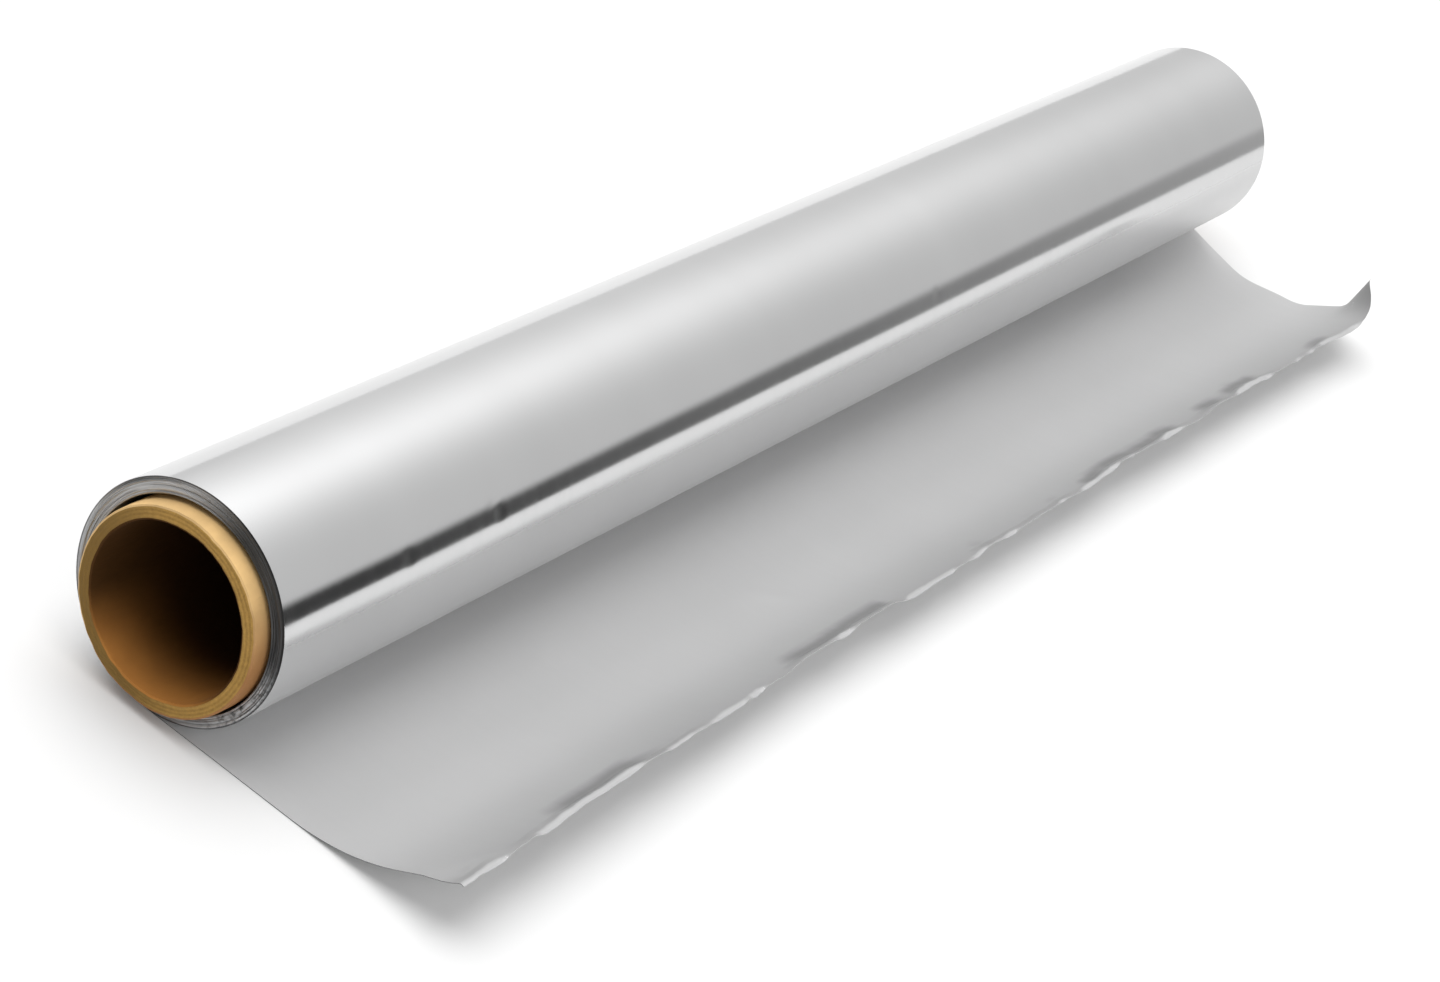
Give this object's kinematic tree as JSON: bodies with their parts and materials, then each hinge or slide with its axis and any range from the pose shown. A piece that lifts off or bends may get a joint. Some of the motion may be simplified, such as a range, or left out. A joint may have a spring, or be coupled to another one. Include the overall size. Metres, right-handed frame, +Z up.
{
  "type": "aluminium foil roll",
  "caption": "Roll of household aluminium foil wound on a hollow cardboard core, with a sheet drawn out over the table in front of it, its torn edge lifted and a corner curled.",
  "frame": {"origin": "on the table, under the axis of the winding, at the middle of the foil's width", "axes": "+X along the roll from the near end, whose core stands out further, to the far end; the drawn-out sheet lies towards -Y; +Z up"},
  "size_m": [0.3047, 0.0683, 0.0337],
  "materials": {
    "core_board": "matte",
    "foil": "satin"
  },
  "bodies": {
    "root": {"core_tube": "core_board", "foil": "foil"}
  },
  "joints": []
}
